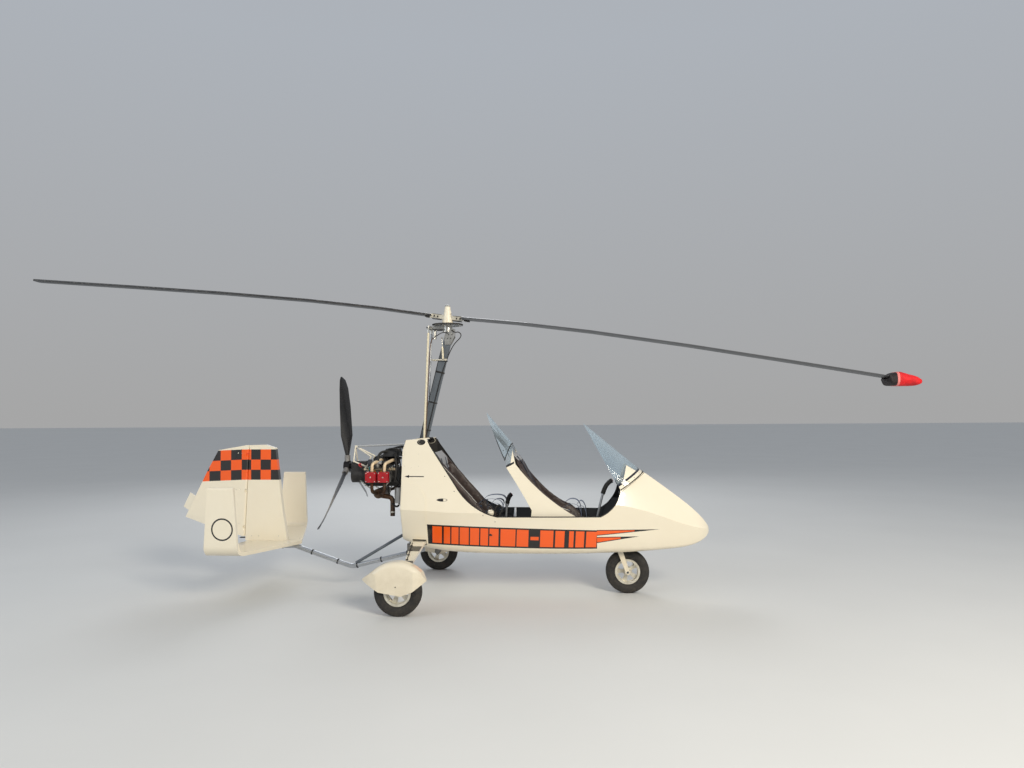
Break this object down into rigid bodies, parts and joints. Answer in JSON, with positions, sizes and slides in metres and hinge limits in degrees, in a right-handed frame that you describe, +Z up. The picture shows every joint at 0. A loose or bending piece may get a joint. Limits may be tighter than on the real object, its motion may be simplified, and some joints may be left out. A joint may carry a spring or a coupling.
{
  "type": "gyrocopter",
  "caption": "Two-seat tandem open gyrocopter with a rear pusher propeller, teetering rotor, moulded body, spatted main wheels, steered nose wheel and a low triple-fin tail",
  "frame": {"origin": "on the ground under the rotor spindle, which is within a few centimetres of the middle of the length with the rotor parked fore and aft", "axes": "+X towards the nose, +Y to port, +Z up"},
  "size_m": [8.5314, 1.96, 3.0643],
  "materials": {
    "white_gelcoat": "gloss",
    "clear_glazing": "gloss",
    "seat_leather": "matte",
    "black_plastic": "matte",
    "tube_aluminium": "satin",
    "mast_grey": "satin",
    "steel": "satin",
    "engine_aluminium": "satin",
    "rocker_red": "satin",
    "black_rubber": "matte",
    "tyre_black": "matte",
    "rim_silver": "satin",
    "cover_red": "matte",
    "blade_grey": "satin",
    "prop_black": "satin"
  },
  "bodies": {
    "airframe": {"fuselage_tub": "white_gelcoat", "rear_cowl": "white_gelcoat", "side_covers": "white_gelcoat", "seat_surround": "white_gelcoat", "wheel_spats": "white_gelcoat", "stabiliser": "white_gelcoat", "centre_fin": "white_gelcoat", "gear_bow": "white_gelcoat", "front_windshield": "clear_glazing", "rear_windshield": "clear_glazing", "front_seat": "seat_leather", "rear_seat": "seat_leather", "instrument_panel": "black_plastic", "control_sticks": "black_plastic", "cockpit_floor": "black_plastic", "firewall": "tube_aluminium", "mast": "mast_grey", "mast_shoe": "steel", "push_rods": "tube_aluminium", "rotor_head": "tube_aluminium", "keel_tube": "tube_aluminium", "keel_brace": "tube_aluminium", "engine_mount": "black_plastic", "engine_block": "engine_aluminium", "rocker_covers": "rocker_red", "gearbox": "engine_aluminium", "exhaust": "steel", "main_axles": "steel", "steering_head": "steel"},
    "rotor_hub": {"hub_tower": "white_gelcoat", "teeter_bolt": "steel"},
    "rotor": {"hub_bar": "tube_aluminium", "rotor_blades": "blade_grey", "blade_tip_cover": "cover_red"},
    "propeller": {"propeller_hub": "prop_black", "propeller_blades": "prop_black"},
    "main_wheel_left": {"main_left_tyre": "tyre_black", "main_left_rim": "rim_silver"},
    "main_wheel_right": {"main_right_tyre": "tyre_black", "main_right_rim": "rim_silver"},
    "nose_leg": {"nose_fork": "white_gelcoat", "nose_axle": "steel"},
    "nose_wheel": {"nose_tyre": "tyre_black", "nose_rim": "rim_silver"},
    "rudder": {"rudder": "white_gelcoat"}
  },
  "joints": [
    {"name": "rotor_spin", "type": "hinge", "parent": "airframe", "child": "rotor_hub", "pos_m": [0, 0, 2.53], "axis": [0, 0, 1], "continuous": true},
    {"name": "rotor_teeter", "type": "hinge", "parent": "rotor_hub", "child": "rotor", "pos_m": [0, 0, 2.591], "axis": [0, 1, 0], "range_deg": [-15, 0]},
    {"name": "propeller_spin", "type": "hinge", "parent": "airframe", "child": "propeller", "pos_m": [-0.983, 0, 1.172], "axis": [1, 0, 0], "continuous": true},
    {"name": "main_wheel_left_spin", "type": "hinge", "parent": "airframe", "child": "main_wheel_left", "pos_m": [-0.264, 0.902, 0.2], "axis": [0, 1, 0], "continuous": true},
    {"name": "main_wheel_right_spin", "type": "hinge", "parent": "airframe", "child": "main_wheel_right", "pos_m": [-0.264, -0.902, 0.2], "axis": [0, 1, 0], "continuous": true},
    {"name": "nose_steer", "type": "hinge", "parent": "airframe", "child": "nose_leg", "pos_m": [1.68, 0, 0.2], "axis": [-0.3305, 0, 0.9438], "range_deg": [-28, 28]},
    {"name": "nose_wheel_spin", "type": "hinge", "parent": "nose_leg", "child": "nose_wheel", "pos_m": [1.68, 0, 0.2], "axis": [0, 1, 0], "continuous": true},
    {"name": "rudder_hinge", "type": "hinge", "parent": "airframe", "child": "rudder", "pos_m": [-2.025, 0, 0.497], "axis": [0.0454, 0, 0.999], "range_deg": [-28, 28]}
  ]
}
